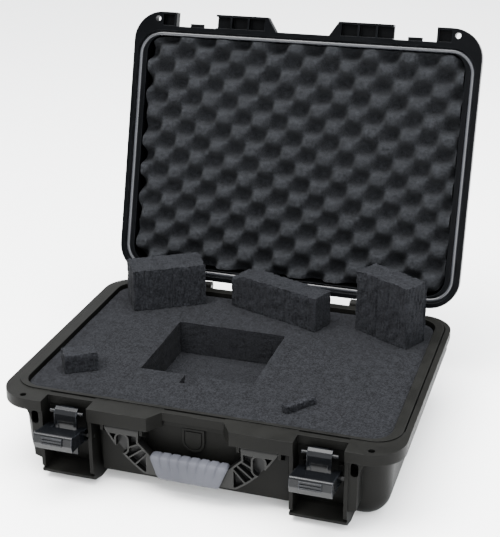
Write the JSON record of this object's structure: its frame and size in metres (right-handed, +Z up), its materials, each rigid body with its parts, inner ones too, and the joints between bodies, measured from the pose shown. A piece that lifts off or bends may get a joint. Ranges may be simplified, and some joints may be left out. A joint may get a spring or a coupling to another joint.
{
  "type": "hard equipment case",
  "caption": "Open moulded equipment case with hinged lid, egg-crate lid foam, diced pluck foam with loose blocks, bow handle and draw latches.",
  "frame": {"origin": "centre of the underside of the lower half, on the surface it stands on", "axes": "+X to the right, +Y to the back where the hinges are, +Z up out of the open lower half"},
  "size_m": [0.503, 0.5803, 0.4843],
  "materials": {
    "shell": "fine moulded texture, matt",
    "handle": "smooth moulded, low sheen",
    "grip": "soft over-moulded, matt",
    "latch": "polished",
    "foam": "open-cell foam, matt",
    "gasket": "smooth",
    "steel": "plain"
  },
  "bodies": {
    "base": {"base_shell": "shell", "foam_bottom_pad": "foam", "foam_lower_layer": "foam", "foam_top_layer": "foam", "hinge_pin_left": "steel", "hinge_pin_right": "steel", "handle_pin_left": "steel", "handle_pin_right": "steel", "latch_pin_left": "steel", "latch_pin_right": "steel", "valve_body": "shell", "valve_membrane": "gasket", "valve_cover": "shell"},
    "lid": {"lid_shell": "shell", "lid_gasket": "gasket", "lid_foam": "foam"},
    "handle": {"handle_frame": "handle", "handle_grip": "grip"},
    "lever_left": {"latch_lever_left": "latch"},
    "lock_left": {"latch_lock_left": "latch"},
    "claw_left": {"latch_claw_left": "latch"},
    "lever_right": {"latch_lever_right": "latch"},
    "lock_right": {"latch_lock_right": "latch"},
    "claw_right": {"latch_claw_right": "latch"},
    "foam_block_left_body": {"foam_block_left": "foam"},
    "foam_block_middle_body": {"foam_block_middle": "foam"},
    "foam_block_right_body": {"foam_block_right": "foam"},
    "foam_block_small_body": {"foam_block_small": "foam"},
    "foam_block_bar_body": {"foam_block_bar": "foam"}
  },
  "joints": [
    {"name": "lid_hinge", "type": "hinge", "parent": "base", "child": "lid", "pos_m": [0, 0.189, 0.108], "axis": [-1, 0, 0], "range_deg": [-105.7, 0], "deforming": ["foam_block_left", "foam_block_middle", "foam_block_right", "foam_block_small", "foam_block_bar"]},
    {"name": "handle_hinge", "type": "hinge", "parent": "base", "child": "handle", "pos_m": [0, -0.191, 0.083], "axis": [-1, 0, 0], "range_deg": [0, 92]},
    {"name": "latch_left", "type": "hinge", "parent": "base", "child": "lever_left", "pos_m": [-0.158, -0.192, 0.066], "axis": [-1, 0, 0], "range_deg": [-103, 0]},
    {"name": "claw_slide_left", "type": "slide", "parent": "base", "child": "claw_left", "axis": [0, 0, 1], "range_m": [0, 0.0271]},
    {"name": "lock_slide_left", "type": "slide", "parent": "lever_left", "child": "lock_left", "axis": [1, 0, 0], "range_m": [0, 0.005]},
    {"name": "latch_right", "type": "hinge", "parent": "base", "child": "lever_right", "pos_m": [0.158, -0.192, 0.066], "axis": [-1, 0, 0], "range_deg": [-103, 0]},
    {"name": "claw_slide_right", "type": "slide", "parent": "base", "child": "claw_right", "axis": [0, 0, 1], "range_m": [0, 0.0271]},
    {"name": "lock_slide_right", "type": "slide", "parent": "lever_right", "child": "lock_right", "axis": [1, 0, 0], "range_m": [0, 0.005]},
    {"name": "lift_left", "type": "slide", "parent": "base", "child": "foam_block_left_body", "axis": [0, 0, 1], "range_m": [0, 0.15]},
    {"name": "lift_middle", "type": "slide", "parent": "base", "child": "foam_block_middle_body", "axis": [0, 0, 1], "range_m": [0, 0.15]},
    {"name": "lift_right", "type": "slide", "parent": "base", "child": "foam_block_right_body", "axis": [0, 0, 1], "range_m": [0, 0.15]},
    {"name": "lift_small", "type": "slide", "parent": "base", "child": "foam_block_small_body", "axis": [0, 0, 1], "range_m": [0, 0.15]},
    {"name": "lift_bar", "type": "slide", "parent": "base", "child": "foam_block_bar_body", "axis": [0, 0, 1], "range_m": [0, 0.15]}
  ],
  "couplings": [
    {"joint": "claw_slide_left", "follows": "latch_left", "m_per_rad": -0.015},
    {"joint": "claw_slide_right", "follows": "latch_right", "m_per_rad": -0.015}
  ]
}
